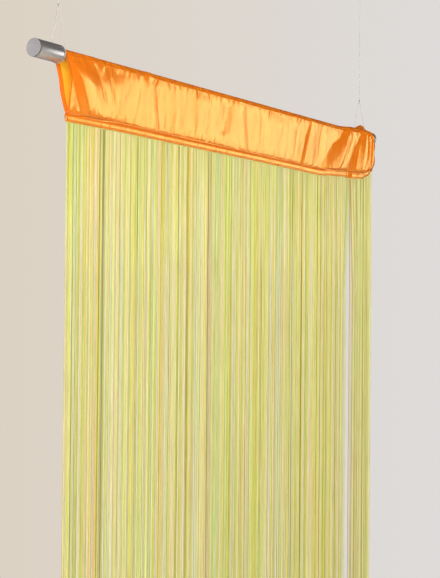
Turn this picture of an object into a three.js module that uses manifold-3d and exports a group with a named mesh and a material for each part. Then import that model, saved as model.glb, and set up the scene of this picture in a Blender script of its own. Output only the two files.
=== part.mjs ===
// A string curtain on a rod: a satin heading slipped over a metal rod with a finial at each end, a
// tape of hanging strings caught in its hem, and two nylon lines that carry the rod from the ceiling.
// Millimetres, +Z up, X along the rod, and the room looks at the curtain from -Y.
// The origin lies on the ceiling, midway between the two lines.

import * as THREE from 'three';
import { mergeVertices } from 'three/addons/utils/BufferGeometryUtils.js';
import Module from 'manifold-3d';

const wasm = await Module();
wasm.setup();

// Driving sizes

const GAP = 0.3;
const CEILING_TO_ROD = 290;
const ROD = { diameter: 16, wall: 1, length: 1000, sides: 36 };
const FINIAL = { diameter: 25, length: 55.5, rounding: 1.2, plug: 18, plugDepth: 8, cap: 2 };
const OVERALL_LENGTH = 1071;
const CURTAIN = { width: 1000, left: -462, belowRod: 90, drop: 2000 };
const CLOTH = { thickness: 1, hem: 11 };
const TAPE = { thickness: 1, insideHem: 8.5, belowHem: 1.6 };
const STRINGS = { count: 300, radius: 0.95, rootRadius: 0.42, sides: 3, margin: 2.5 };
const LINE = { diameter: 0.8, halfSpacing: 481.7, knotHeight: 68, loopRadius: 13.2 };
const KNOT = { width: 3.4, height: 5 };
const FITTING = { diameter: 20, plate: 3, boss: 9, neck: 9, tip: 5 };

const ROD_RADIUS = ROD.diameter / 2;
const FINIAL_RADIUS = FINIAL.diameter / 2;
const SHOULDER = OVERALL_LENGTH / 2 - FINIAL.length;
const AXIS_Z = -CEILING_TO_ROD;
const STRING_END_Z = AXIS_Z + ROD_RADIUS - CURTAIN.drop;

// How the heading hangs. Every `at`, `top` and `bottom` is a distance from the curtain's left
// corner, along the rod; `top` is at the level of the rod's axis and `bottom` at the hem.

const HEM_LINE = [
  { at: 0, lift: 0, back: 0 },
  { at: 130, lift: 0.6, back: -1 },
  { at: 320, lift: 0.4, back: 0.8 },
  { at: 500, lift: -0.4, back: -0.8 },
  { at: 660, lift: -0.8, back: 0.6 },
  { at: 770, lift: -2, back: -0.6 },
  { at: 828, lift: 1.8, back: -1.4 },
  { at: 880, lift: 5, back: 0 },
  { at: 894, lift: 4.2, back: 3.4 },
  { at: 912, lift: 4.8, back: -0.6 },
  { at: 947, lift: 7.2, back: -3.6 },
  { at: 971, lift: 14, back: -3.2 },
  { at: 1000, lift: 27, back: -1.4 },
];
const BELLY = [
  { at: 0, front: 5, rear: 1.5 },
  { at: 70, front: 2.4, rear: 1 },
  { at: 300, front: 1, rear: 1 },
  { at: 780, front: 1, rear: 1 },
  { at: 880, front: 3, rear: 2 },
  { at: 955, front: 3.6, rear: 3 },
  { at: 1000, front: 3.6, rear: 2.4 },
];
// A positive depth stands out from the layer, and a negative one is a trough in it.
const FRONT_FOLDS = [
  { top: -22, bottom: 47, width: 12, depth: -3.4 },
  { top: 8, bottom: 74, width: 13, depth: 1.8 },
  { top: 202, bottom: 228, width: 20, depth: -1.1 },
  { top: 340, bottom: 346, width: 30, depth: 1 },
  { top: 478, bottom: 499, width: 22, depth: -1.2 },
  { top: 620, bottom: 612, width: 30, depth: 1 },
  { top: 720, bottom: 700, width: 18, depth: -1.5 },
  { top: 869, bottom: 814, width: 16, depth: -2.6 },
  { top: 903, bottom: 868, width: 14, depth: 3.4 },
  { top: 926, bottom: 894, width: 8, depth: -5 },
  { top: 939, bottom: 922, width: 8, depth: 2.6 },
  { top: 943, bottom: 980, width: 8, depth: -2.8 },
  { top: 972, bottom: 992, width: 10, depth: 1.6 },
];
const REAR_FOLDS = [
  { top: 30, bottom: 60, width: 18, depth: -1.4 },
  { top: 275, bottom: 282, width: 30, depth: 1 },
  { top: 548, bottom: 540, width: 30, depth: -1 },
  { top: 842, bottom: 820, width: 18, depth: 1.8 },
  { top: 905, bottom: 886, width: 11, depth: -2.8 },
  { top: 958, bottom: 956, width: 10, depth: -1.8 },
];
// At the right the cloth has been pushed over the finial, where the line gathers it into a ruffle.
const OVER_FINIAL = { from: 898, to: 932 };
const RUFFLE = { at: 951, spread: 13, height: 7.6, halfAngle: 22 };
const LINE_ROOM = { spread: 15, depth: 1.3 };
// How far the side edges stand out past the hem's corners, at the rod and half way down.
const LEFT_EDGE = { rodFront: -15, rodRear: -13, middleFront: -4, middleRear: -5.5, reach: 70 };
const RIGHT_EDGE = { rodFront: -23, rodRear: -13, middleFront: -17, middleRear: -12, reach: 60 };

const STATION_BANDS = [
  { from: 0, to: 96, step: 12 },
  { from: 96, to: 784, step: 43 },
  { from: 784, to: 1000, step: 7.2 },
];
const LAYER_LEVELS = [0.1, 0.3, 0.52, 0.74, 0.9];
const WRAP_ANGLES = [180, 160, 140, 120, 104, 90, 76, 60, 40, 20, 0];

// Colours and finishes

const satin = new THREE.MeshStandardMaterial({ color: 0xfb9a2c, roughness: 0.42, metalness: 0 });
const yarn = new THREE.MeshStandardMaterial({ color: 0xdcd873, roughness: 0.8, metalness: 0 });
const brushedSteel = new THREE.MeshStandardMaterial({ color: 0xa8a8a8, roughness: 0.35, metalness: 0.9 });
const paleSteel = new THREE.MeshStandardMaterial({ color: 0xb9b7bb, roughness: 0.45, metalness: 0.6 });
const nylon = new THREE.MeshStandardMaterial({ color: 0xd4d8d8, roughness: 0.25, metalness: 0 });
const whiteMetal = new THREE.MeshStandardMaterial({ color: 0xe6e6e4, roughness: 0.5, metalness: 0.2 });

const part = new THREE.Group();

function place(name, geometry, material, position = [0, 0, 0]) {
  const mesh = new THREE.Mesh(geometry, material);
  mesh.name = name;
  mesh.position.set(...position);
  part.add(mesh);
  return mesh;
}

// Solids in and out of the boolean library

function toSolid(geometry) {
  const bare = geometry.clone();
  bare.deleteAttribute('normal');
  bare.deleteAttribute('uv');
  const merged = mergeVertices(bare, 1e-4);
  return new wasm.Manifold(new wasm.Mesh({
    numProp: 3,
    vertProperties: new Float32Array(merged.attributes.position.array),
    triVerts: new Uint32Array(merged.index.array),
  }));
}

function toGeometry(solid) {
  const mesh = solid.getMesh();
  const geometry = new THREE.BufferGeometry();
  geometry.setAttribute('position', new THREE.BufferAttribute(mesh.vertProperties, 3));
  geometry.setIndex(new THREE.BufferAttribute(mesh.triVerts, 1));
  return geometry;
}

// A value read from a table at a distance along the curtain, eased between its rows.
function fromTable(rows, key, at) {
  if (at <= rows[0].at) return rows[0][key];
  for (let i = 1; i < rows.length; i += 1) {
    if (at <= rows[i].at) {
      const share = (at - rows[i - 1].at) / (rows[i].at - rows[i - 1].at);
      return THREE.MathUtils.lerp(rows[i - 1][key], rows[i][key], THREE.MathUtils.smoothstep(share, 0, 1));
    }
  }
  return rows[rows.length - 1][key];
}

const bell = (distance, width) => Math.exp(-0.5 * (distance / width) ** 2);

// The hem's lower edge, as { back, z } at a distance along the curtain.
function hemEdge(at) {
  return {
    back: fromTable(HEM_LINE, 'back', at),
    z: AXIS_Z - CURTAIN.belowRod + fromTable(HEM_LINE, 'lift', at),
  };
}

// A closed skin over rings that all have the same number of points, with its two ends filled.
// Each section is a list of rings: the outline first, then the outline of a hollow, if it has one.
function loft(sections) {
  const positions = [];
  const index = [];
  const ringSizes = sections[0].map((ring) => ring.length);
  const perSection = ringSizes.reduce((sum, size) => sum + size, 0);
  for (const rings of sections) {
    for (const point of rings.flat()) positions.push(point.x, point.y, point.z);
  }
  let ringStart = 0;
  ringSizes.forEach((size, ring) => {
    for (let s = 0; s < sections.length - 1; s += 1) {
      for (let i = 0; i < size; i += 1) {
        const a = s * perSection + ringStart + i;
        const b = s * perSection + ringStart + ((i + 1) % size);
        const quad = [a, b, b + perSection, a, b + perSection, a + perSection];
        index.push(...(ring === 0 ? quad.reverse() : quad));
      }
    }
    ringStart += size;
  });
  for (const [s, turned] of [[0, true], [sections.length - 1, false]]) {
    const [outline, ...hollows] = sections[s].map((ring) => ring.map((p) => new THREE.Vector2(p.y, p.z)));
    for (const face of THREE.ShapeUtils.triangulateShape(outline, hollows)) {
      const corners = face.map((i) => i + s * perSection);
      index.push(...(turned ? corners.reverse() : corners));
    }
  }
  const geometry = new THREE.BufferGeometry();
  geometry.setAttribute('position', new THREE.Float32BufferAttribute(positions, 3));
  geometry.setIndex(index);
  return geometry;
}

// The rod and its finials, each a sleeve with a cap disc plugged into its outer end

// A solid of revolution along X, from a profile of [distance along X, radius] pairs.
function turned(profile, side = 1) {
  const points = profile.map(([along, radius]) => new THREE.Vector2(radius, along));
  const solid = new THREE.LatheGeometry(points, ROD.sides);
  return solid.rotateZ((-side * Math.PI) / 2);
}

function rodGeometry() {
  const inner = ROD_RADIUS - ROD.wall;
  const half = ROD.length / 2;
  return turned([[-half, inner], [-half, ROD_RADIUS], [half, ROD_RADIUS], [half, inner], [-half, inner]]);
}

// Along X, 0 is the finial's shoulder.
function finialGeometry(side) {
  const socketDepth = ROD.length / 2 - SHOULDER + GAP;
  const socket = ROD_RADIUS + GAP;
  const end = FINIAL.length - FINIAL.cap - GAP;
  const recess = FINIAL.plug / 2 + GAP;
  const round = FINIAL.rounding;
  return turned([
    [socketDepth, 0],
    [socketDepth, socket],
    [0, socket],
    [0, FINIAL_RADIUS - round],
    [round * 0.3, FINIAL_RADIUS - round * 0.3],
    [round, FINIAL_RADIUS],
    [end, FINIAL_RADIUS],
    [end, recess],
    [end - FINIAL.plugDepth - GAP, recess],
    [end - FINIAL.plugDepth - GAP, 0],
  ], side);
}

// Along X, 0 is the disc's inner face.
function finialCapGeometry(side) {
  const edge = 0.5;
  return turned([
    [-FINIAL.plugDepth - GAP, 0],
    [-FINIAL.plugDepth - GAP, FINIAL.plug / 2],
    [0, FINIAL.plug / 2],
    [0, FINIAL_RADIUS],
    [FINIAL.cap - edge, FINIAL_RADIUS],
    [FINIAL.cap, FINIAL_RADIUS - edge],
    [FINIAL.cap, 0],
  ], side);
}

place('rod', rodGeometry(), brushedSteel, [0, 0, AXIS_Z]);
for (const [name, side] of [['left', -1], ['right', 1]]) {
  const capX = side * (OVERALL_LENGTH / 2 - FINIAL.cap);
  place(`finial_${name}`, finialGeometry(side), brushedSteel, [side * SHOULDER, 0, AXIS_Z]);
  place(`finial_cap_${name}`, finialCapGeometry(side), paleSteel, [capX, 0, AXIS_Z]);
}

// The heading: one sheet of satin over the rod, its two layers sewn together above the hem

// The share of a fold's depth that is left at a share of the height, from 0 at the seam to 1 at
// the rod, where the cloth is drawn tight.
const foldFade = (height) => (0.35 + 0.65 * THREE.MathUtils.smoothstep(height, 0, 0.35))
  * (1 - THREE.MathUtils.smoothstep(height, 0.7, 1));

function foldDepth(folds, at, height) {
  return folds.reduce((sum, fold) => {
    const middle = THREE.MathUtils.lerp(fold.bottom, fold.top, height);
    return sum + fold.depth * bell(at - middle, fold.width) * foldFade(height);
  }, 0);
}

// The radius of the cloth's inner face where it goes round the rod or the right-hand finial.
function wrapRadius(at) {
  const facets = Math.cos(THREE.MathUtils.degToRad(10));
  const onFinial = THREE.MathUtils.smoothstep(at, OVER_FINIAL.from, OVER_FINIAL.to);
  const bare = (THREE.MathUtils.lerp(ROD_RADIUS, FINIAL_RADIUS, onFinial) + GAP) / facets;
  const lineAt = LINE.halfSpacing - CURTAIN.left;
  return bare + LINE_ROOM.depth * bell(at - lineAt, LINE_ROOM.spread);
}

function edgeShift(edge, distance, height, front) {
  const rodShift = front ? edge.rodFront : edge.rodRear;
  const middleShift = front ? edge.middleFront : edge.middleRear;
  const shift = height < 0.5
    ? THREE.MathUtils.lerp(0, middleShift, THREE.MathUtils.smoothstep(height, 0, 0.5))
    : THREE.MathUtils.lerp(middleShift, rodShift, THREE.MathUtils.smoothstep(height, 0.5, 1));
  return shift * (1 - THREE.MathUtils.smoothstep(distance, 0, edge.reach));
}

// Where a point of the cloth lies along the rod, with the side edges drawn in or out.
function alongRod(at, height, front) {
  const shift = edgeShift(LEFT_EDGE, at, height, front)
    + edgeShift(RIGHT_EDGE, CURTAIN.width - at, height, front);
  return CURTAIN.left + at + shift;
}

// One point of the front (side -1) or rear (side 1) layer. `face` is 0 on its inner face and 1 on
// its outer one.
function layerPoint(at, height, side, face) {
  const hem = hemEdge(at);
  const seamZ = hem.z + CLOTH.hem + 1;
  const seamY = hem.back + side * 0.9;
  const rodY = side * (wrapRadius(at) + CLOTH.thickness / 2);
  const belly = fromTable(BELLY, side < 0 ? 'front' : 'rear', at) * Math.sin(Math.PI * height);
  const folds = foldDepth(side < 0 ? FRONT_FOLDS : REAR_FOLDS, at, height);
  const middle = THREE.MathUtils.lerp(seamY, rodY, height) + side * (belly + folds);
  return new THREE.Vector3(
    alongRod(at, height, side < 0),
    middle + side * (face - 0.5) * CLOTH.thickness,
    THREE.MathUtils.lerp(seamZ, AXIS_Z, height),
  );
}

// One point of the cloth over the rod, at an angle from the rear (0) over the top to the front.
function wrapPoint(at, angle, face) {
  const ruffle = RUFFLE.height * bell(at - RUFFLE.at, RUFFLE.spread) * bell(angle - 90, RUFFLE.halfAngle);
  const radius = wrapRadius(at) + ruffle + face * CLOTH.thickness;
  const turn = THREE.MathUtils.degToRad(angle);
  const frontShare = (1 - Math.cos(turn)) / 2;
  const x = THREE.MathUtils.lerp(alongRod(at, 1, false), alongRod(at, 1, true), frontShare);
  return new THREE.Vector3(x, radius * Math.cos(turn), AXIS_Z + radius * Math.sin(turn));
}

function headingSection(at) {
  const hem = hemEdge(at);
  const slotHalf = TAPE.thickness / 2 + GAP;
  const bandHalf = slotHalf + CLOTH.thickness;
  const hemPoint = (y, up) => new THREE.Vector3(CURTAIN.left + at, hem.back + y, hem.z + up);
  const layer = (side, face) => LAYER_LEVELS.map((height) => layerPoint(at, height, side, face));
  const wrap = (face) => WRAP_ANGLES.map((angle) => wrapPoint(at, angle, face));
  const outline = [
    hemPoint(-slotHalf, 0),
    hemPoint(-bandHalf, 0),
    hemPoint(-bandHalf, CLOTH.hem * 0.8),
    hemPoint(-bandHalf + 0.5, CLOTH.hem),
    ...layer(-1, 1),
    ...wrap(1),
    ...layer(1, 1).reverse(),
    hemPoint(bandHalf - 0.5, CLOTH.hem),
    hemPoint(bandHalf, CLOTH.hem * 0.8),
    hemPoint(bandHalf, 0),
    hemPoint(slotHalf, 0),
    hemPoint(slotHalf, TAPE.insideHem + GAP),
    hemPoint(-slotHalf, TAPE.insideHem + GAP),
  ];
  const pocket = [hemPoint(0, CLOTH.hem + 3), ...layer(-1, 0), ...wrap(0), ...layer(1, 0).reverse()];
  return [outline, pocket];
}

function stations() {
  const found = [];
  for (const { from, to, step } of STATION_BANDS) {
    for (let at = from; at < to - step / 2; at += step) found.push(at);
  }
  return [...found, CURTAIN.width];
}

// The nylon lines: a knotted loop round each finial, and one run up to the ceiling

const loopSlope = Math.asin(LINE.loopRadius / LINE.knotHeight);

// The loop's route in the plane across the rod: down behind the finial, under it and up in front.
function loopRoute() {
  const entry = LINE.diameter * 0.65;
  const route = [new THREE.Vector3(0, entry, LINE.knotHeight)];
  const turns = 12;
  for (let i = 0; i <= turns; i += 1) {
    const angle = THREE.MathUtils.lerp(loopSlope, -Math.PI - loopSlope, i / turns);
    const onLoop = new THREE.Vector3(0, Math.cos(angle), Math.sin(angle)).multiplyScalar(LINE.loopRadius);
    if (i === 0) route.push(route[0].clone().lerp(onLoop, 0.5));
    route.push(onLoop);
  }
  const end = new THREE.Vector3(0, -entry, LINE.knotHeight);
  route.push(route[route.length - 1].clone().lerp(end, 0.5), end);
  return route;
}

function lineSection() {
  const corners = [];
  for (let i = 0; i < 8; i += 1) {
    const turn = (i * Math.PI) / 4;
    corners.push(new THREE.Vector2(Math.cos(turn), Math.sin(turn)).multiplyScalar(LINE.diameter / 2));
  }
  return new THREE.Shape(corners);
}

function lineGeometry() {
  const loopPath = new THREE.CatmullRomCurve3(loopRoute(), false, 'centripetal');
  const top = CEILING_TO_ROD - FITTING.plate - FITTING.boss - GAP;
  const risePath = new THREE.LineCurve3(
    new THREE.Vector3(0, 0, LINE.knotHeight),
    new THREE.Vector3(0, 0, top),
  );
  const loop = new THREE.ExtrudeGeometry(lineSection(), { steps: 40, extrudePath: loopPath });
  const rise = new THREE.ExtrudeGeometry(lineSection(), { steps: 1, extrudePath: risePath });
  const knot = new THREE.SphereGeometry(0.5, 8, 6);
  knot.rotateX(Math.PI / 2);
  knot.scale(KNOT.width, KNOT.width, KNOT.height);
  knot.translate(0, 0, LINE.knotHeight);
  return toGeometry(toSolid(loop).add(toSolid(knot)).add(toSolid(rise)));
}

// The two small holes through which the right-hand line comes out of the ruffle.
function lineHoles() {
  const from = 4;
  const to = 34;
  const holes = [-1, 1].map((side) => {
    const hole = new THREE.CylinderGeometry(1.2, 1.2, (to - from) / Math.cos(loopSlope), 8);
    hole.rotateX(Math.PI / 2);
    hole.rotateX(side * loopSlope);
    const middle = (from + to) / 2;
    const spread = (LINE.knotHeight - middle) * Math.tan(loopSlope);
    hole.translate(LINE.halfSpacing, side * spread, AXIS_Z + middle);
    return toSolid(hole);
  });
  return holes[0].add(holes[1]);
}

const heading = toSolid(loft(stations().map(headingSection))).subtract(lineHoles());
place('heading', toGeometry(heading), satin);

function fittingGeometry() {
  const profile = [
    [0, 0],
    [FITTING.diameter / 2, 0],
    [FITTING.diameter / 2, -FITTING.plate],
    [FITTING.neck / 2, -FITTING.plate],
    [FITTING.tip / 2, -FITTING.plate - FITTING.boss],
    [0, -FITTING.plate - FITTING.boss],
  ];
  const fitting = new THREE.LatheGeometry(profile.map(([r, y]) => new THREE.Vector2(r, y)).reverse(), 24);
  fitting.rotateX(Math.PI / 2);
  return fitting;
}

for (const [side, x] of [['left', -LINE.halfSpacing], ['right', LINE.halfSpacing]]) {
  place(`line_${side}`, lineGeometry(), nylon, [x, 0, AXIS_Z]);
  place(`ceiling_fitting_${side}`, fittingGeometry(), whiteMetal, [x, 0, 0]);
}

// The strings, fused to the tape that the hem holds

function tapeSection(at) {
  const hem = hemEdge(at);
  const half = TAPE.thickness / 2;
  const x = CURTAIN.left + at;
  return [[
    new THREE.Vector3(x, hem.back - half, hem.z - TAPE.belowHem),
    new THREE.Vector3(x, hem.back - half, hem.z + TAPE.insideHem),
    new THREE.Vector3(x, hem.back + half, hem.z + TAPE.insideHem),
    new THREE.Vector3(x, hem.back + half, hem.z - TAPE.belowHem),
  ]];
}

// Each string hangs a little out of true. Neighbours drift together, so they never touch.
const STRING_HEIGHTS = [1, 0.98, 0];
function stringDrift(number, height) {
  const fall = 1 - height;
  return {
    x: fall * (2.6 * Math.sin(number / 7.5) + 1.1 * Math.sin(number / 2.9 + 4 * height)),
    y: 1.3 * fall * Math.sin(number * 2.4 + 2 * height),
  };
}

function stringGeometry(number) {
  const span = CURTAIN.width - 2 * STRINGS.margin;
  const at = STRINGS.margin + (span * number) / (STRINGS.count - 1);
  const hem = hemEdge(at);
  const topZ = hem.z - TAPE.belowHem + 1;
  const rings = STRING_HEIGHTS.map((height) => {
    const drift = stringDrift(number, height);
    const radius = height === 1 ? STRINGS.rootRadius : STRINGS.radius;
    const ring = [];
    for (let corner = 0; corner < STRINGS.sides; corner += 1) {
      const turn = (2 * Math.PI * corner) / STRINGS.sides + number;
      ring.push(new THREE.Vector3(
        CURTAIN.left + at + drift.x + radius * Math.cos(turn),
        hem.back + drift.y + radius * Math.sin(turn),
        THREE.MathUtils.lerp(STRING_END_Z, topZ, height),
      ));
    }
    return ring;
  });
  return strand(rings);
}

// A strand with flat ends over rings of three or four points, from the top down.
function strand(rings) {
  const size = rings[0].length;
  const index = [];
  for (let r = 0; r < rings.length - 1; r += 1) {
    for (let i = 0; i < size; i += 1) {
      const a = r * size + i;
      const b = r * size + ((i + 1) % size);
      index.push(a, a + size, b + size, a, b + size, b);
    }
  }
  const last = (rings.length - 1) * size;
  for (let i = 1; i < size - 1; i += 1) {
    index.push(0, i, i + 1);
    index.push(last, last + i + 1, last + i);
  }
  const geometry = new THREE.BufferGeometry();
  geometry.setAttribute('position', new THREE.Float32BufferAttribute(
    rings.flat().flatMap((p) => [p.x, p.y, p.z]), 3));
  geometry.setIndex(index);
  return geometry;
}

const strands = Array.from({ length: STRINGS.count }, (_, number) => toSolid(stringGeometry(number)));
const fringe = wasm.Manifold.union([toSolid(loft(stations().map(tapeSection))), ...strands]);
place('string_fringe', toGeometry(fringe), yarn);

export default part;
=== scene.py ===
# %% [markdown]
# # A string curtain on its rod
# An orange satin heading is slipped over a steel rod, and about a thousand fine strings hang from the
# tape in its hem. Two clear nylon lines carry the rod from the ceiling. Each piece below sits in the
# same frame as the CAD model: metres, +Z up, X along the rod, and seen from -Y.
# The first thing that a dressed model needs is its frame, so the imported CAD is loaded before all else.

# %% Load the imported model
import math
import random

import bmesh
import bpy
from mathutils import Matrix, Vector, noise


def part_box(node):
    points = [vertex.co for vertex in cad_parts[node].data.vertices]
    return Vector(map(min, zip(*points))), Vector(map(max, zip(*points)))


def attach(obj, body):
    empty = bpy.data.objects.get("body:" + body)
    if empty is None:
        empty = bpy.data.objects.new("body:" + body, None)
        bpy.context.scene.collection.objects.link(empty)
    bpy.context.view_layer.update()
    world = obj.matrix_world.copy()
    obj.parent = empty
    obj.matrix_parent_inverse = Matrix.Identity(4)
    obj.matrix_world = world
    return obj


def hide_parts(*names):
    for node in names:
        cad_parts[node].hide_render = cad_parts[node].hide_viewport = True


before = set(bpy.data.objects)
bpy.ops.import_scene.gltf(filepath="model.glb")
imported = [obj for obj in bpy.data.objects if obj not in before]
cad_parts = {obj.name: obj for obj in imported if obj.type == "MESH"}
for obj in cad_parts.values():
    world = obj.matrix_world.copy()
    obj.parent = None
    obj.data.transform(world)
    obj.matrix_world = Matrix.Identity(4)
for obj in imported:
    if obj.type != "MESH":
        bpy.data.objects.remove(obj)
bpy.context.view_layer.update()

MM = 0.001

# %% [markdown]
# ## Sizes
# A maker works from a few sizes: the rod, the finial, the cloth and the drop. They are the CAD's, in
# millimetres, but the satin is as thin as real satin. The rod's place is read from the frame. `at` is
# always a distance along the curtain from its left corner.

# %% Driving sizes
GAP = 0.3
ROD = {"radius": 8, "wall": 1, "length": 1000}
FINIAL = {"radius": 12.5, "length": 55.5, "rounding": 1.2, "plug": 9, "plug_depth": 8, "cap": 2}
OVERALL_LENGTH = 1071
CURTAIN = {"width": 1000, "left": -462, "below_rod": 90, "drop": 2000}
CLOTH = {"thickness": 0.35, "hem": 12, "around_rod": 26, "clearance": 0.15}
TAPE = {"thickness": 0.9, "inside_hem": 8.5, "below_hem": 1.4}
LINE = {"diameter": 0.8, "half_spacing": 481.7, "knot_height": 68, "loop_radius": 13.2}
FITTING = {"radius": 10, "plate": 3, "boss": 9, "neck": 4.5, "tip": 2.5}

rod_low, rod_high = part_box("rod")
AXIS_Z = (rod_low[2] + rod_high[2]) / 2 / MM
SHOULDER = OVERALL_LENGTH / 2 - FINIAL["length"]
STRING_END_Z = AXIS_Z + ROD["radius"] - CURTAIN["drop"]
print("The rod's axis is at z =", round(AXIS_Z, 1), "mm")

# %% [markdown]
# ## The camera
# The photograph looks along the curtain from its left end, from a little below the rod. A camera needs a
# place, three turns and a lens, which were worked out from the straight edges of the rod and strings.

# %% Photograph's camera
PHOTO_HEIGHT = 578
FOCAL_PIXELS = 1446.5
CAMERA_PLACE = Vector((-2.06055, -1.19722, -0.65744))
CAMERA_DEGREES = {"turn": -59.335, "tilt": 1.395, "roll": 0.532}

camera_data = bpy.data.cameras.new("photo_camera")
camera_data.sensor_fit = "VERTICAL"
camera_data.sensor_height = 36
camera_data.lens = camera_data.sensor_height * FOCAL_PIXELS / PHOTO_HEIGHT
camera = bpy.data.objects.new("photo_camera", camera_data)
turn, tilt, roll = (math.radians(degrees) for degrees in CAMERA_DEGREES.values())
camera.matrix_world = (
    Matrix.Translation(CAMERA_PLACE)
    @ Matrix.Rotation(turn, 4, "Z")
    @ Matrix.Rotation(math.radians(90) + tilt, 4, "X")
    @ Matrix.Rotation(roll, 4, "Z")
)
bpy.context.scene.collection.objects.link(camera)
bpy.context.scene.camera = camera
print("The lens is", round(camera_data.lens, 1), "mm")

# %% [markdown]
# ## Helpers
# Most pieces are made the same way. A bmesh is shaped in millimetres, and at the end it is scaled to
# metres, given its material and put at the origin, so its place is in its mesh.

# %% Finish a bmesh as a piece
def make_mesh(bm, name):
    mesh = bpy.data.meshes.new(name)
    bm.to_mesh(mesh)
    bm.free()
    print(name, "has", len(mesh.polygons), "faces")
    return mesh


def place_object(name, data):
    placed = bpy.data.objects.new(name, data)
    bpy.context.scene.collection.objects.link(placed)
    return placed


def make_piece(bm, name, material):
    bmesh.ops.scale(bm, vec=(MM, MM, MM), verts=bm.verts)
    for face in bm.faces:
        face.smooth = True
    piece = place_object(name, make_mesh(bm, name))
    piece.data.materials.append(material)
    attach(piece, "root")
    return piece


def smoothstep(value, low, high):
    share = min(max((value - low) / (high - low), 0), 1)
    return share * share * (3 - 2 * share)


def lerp(start, end, share):
    return start + (end - start) * share


def bell(distance, width):
    return math.exp(-0.5 * (distance / width) ** 2)


# %% [markdown]
# ## Shader helpers
# A finish is a small tree of nodes. These helpers add a node, join two sockets and turn a colour as a
# screen shows it into the linear one that the shader wants.

# %% Node helpers
def linear(red, green, blue):
    def one(value):
        share = value / 255
        return share / 12.92 if share <= 0.04045 else ((share + 0.055) / 1.055) ** 2.4
    return (one(red), one(green), one(blue), 1)


def add_node(tree, kind, inputs=(), **settings):
    node = tree.nodes.new(kind)
    for name, value in settings.items():
        setattr(node, name, value)
    for socket, value in dict(inputs).items():
        if isinstance(value, bpy.types.NodeSocket):
            tree.links.new(value, node.inputs[socket])
        else:
            node.inputs[socket].default_value = value
    return node


def math_node(tree, operation, *values):
    return add_node(tree, "ShaderNodeMath", dict(enumerate(values)), operation=operation).outputs[0]


MIX_INPUTS = {"factor": 0, "first colour": 6, "second colour": 7}
MIX_RESULT = 2


def mix_colours(tree, factor, first, second, blend="MIX"):
    sockets = dict(zip(MIX_INPUTS.values(), (factor, first, second)))
    mix = add_node(tree, "ShaderNodeMix", sockets, data_type="RGBA", blend_type=blend)
    return mix.outputs[MIX_RESULT]


SOCKET_KINDS = {"number": "NodeSocketFloat", "colour": "NodeSocketColor", "vector": "NodeSocketVector"}


def new_group(name, inputs, outputs):
    tree = bpy.data.node_groups.new(name, "ShaderNodeTree")
    for in_out, sockets in (("INPUT", inputs), ("OUTPUT", outputs)):
        for socket, kind in sockets.items():
            tree.interface.new_socket(name=socket, in_out=in_out, socket_type=SOCKET_KINDS[kind])
    return tree, tree.nodes.new("NodeGroupInput").outputs, tree.nodes.new("NodeGroupOutput").inputs


def place_group(tree, group, inputs):
    return add_node(tree, "ShaderNodeGroup", inputs, node_tree=group).outputs


def new_material(name, plain):
    """A material with one Principled BSDF, whose uniform values are set on its own sockets."""
    material = bpy.data.materials.new(name)
    material.use_nodes = True
    tree = material.node_tree
    shader = tree.nodes["Principled BSDF"]
    for socket, value in plain.items():
        shader.inputs[socket].default_value = value
    return material, tree, shader


def object_coordinates(tree):
    return add_node(tree, "ShaderNodeTexCoord").outputs["Object"]


def map_range(tree, value, low, high, start=0, end=1):
    """Spread a value that runs from `start` to `end` over `low` to `high`."""
    sockets = {"Value": value, "From Min": start, "From Max": end, "To Min": low, "To Max": high}
    return add_node(tree, "ShaderNodeMapRange", sockets).outputs["Result"]


def bump(tree, height, strength, distance):
    sockets = {"Height": height, "Strength": strength, "Distance": distance}
    return add_node(tree, "ShaderNodeBump", sockets).outputs["Normal"]


def dress(tree, shader, colour, roughness, normal=None):
    """Join what varies over a surface to its shader."""
    for socket, value in (("Base Color", colour), ("Roughness", roughness), ("Normal", normal)):
        if value is not None:
            tree.links.new(value, shader.inputs[socket])


# %% [markdown]
# ## Effects that several finishes share
# Real surfaces are never one flat colour: dye takes unevenly, yarn varies and steel dulls in patches.
# One group gives that slow drift between two colours. It is built once, and each finish places it with
# its own scale and colours.

# %% Group: uneven tone
uneven_tone, given, result = new_group(
    "Uneven tone",
    {"Coordinates": "vector", "Scale": "number", "Amount": "number", "Colour": "colour", "Shade": "colour"},
    {"Colour": "colour", "Mask": "number"},
)
drift = add_node(uneven_tone, "ShaderNodeTexNoise", {
    "Vector": given["Coordinates"],
    "Scale": given["Scale"],
    "Detail": 4,
    "Roughness": 0.6,
})
drift_mask = map_range(uneven_tone, drift.outputs["Fac"], 0, 1, start=0.35, end=0.65)
amount = math_node(uneven_tone, "MULTIPLY", drift_mask, given["Amount"])
uneven_colour = mix_colours(uneven_tone, amount, given["Colour"], given["Shade"])
uneven_tone.links.new(uneven_colour, result["Colour"])
uneven_tone.links.new(amount, result["Mask"])


def uneven(tree, where, colour, shade, scale, amount):
    return place_group(tree, uneven_tone, {
        "Coordinates": where, "Scale": scale, "Amount": amount, "Colour": colour, "Shade": shade,
    })


# %% [markdown]
# Satin and tape are woven. Seen close, the warp threads stand up as fine ridges, and the weft dips
# under them at regular points. Two sines multiplied give that height, and their scale is a count of
# threads in each metre, because the cloth's own UV map is in metres.

# %% Group: woven threads
woven_threads, given, result = new_group(
    "Woven threads",
    {"Coordinates": "vector", "Warp Count": "number", "Weft Count": "number", "Weft Share": "number"},
    {"Height": "number"},
)
split = add_node(woven_threads, "ShaderNodeSeparateXYZ", {"Vector": given["Coordinates"]})


def thread_wave(coordinate, count):
    turns = math_node(woven_threads, "MULTIPLY", coordinate, count)
    return math_node(woven_threads, "SINE", math_node(woven_threads, "MULTIPLY", turns, math.tau))


warp = thread_wave(split.outputs["X"], given["Warp Count"])
weft = thread_wave(split.outputs["Y"], given["Weft Count"])
crossing = math_node(woven_threads, "MULTIPLY", math_node(woven_threads, "MULTIPLY", warp, weft),
                     given["Weft Share"])
woven_threads.links.new(math_node(woven_threads, "ADD", warp, crossing), result["Height"])


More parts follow.
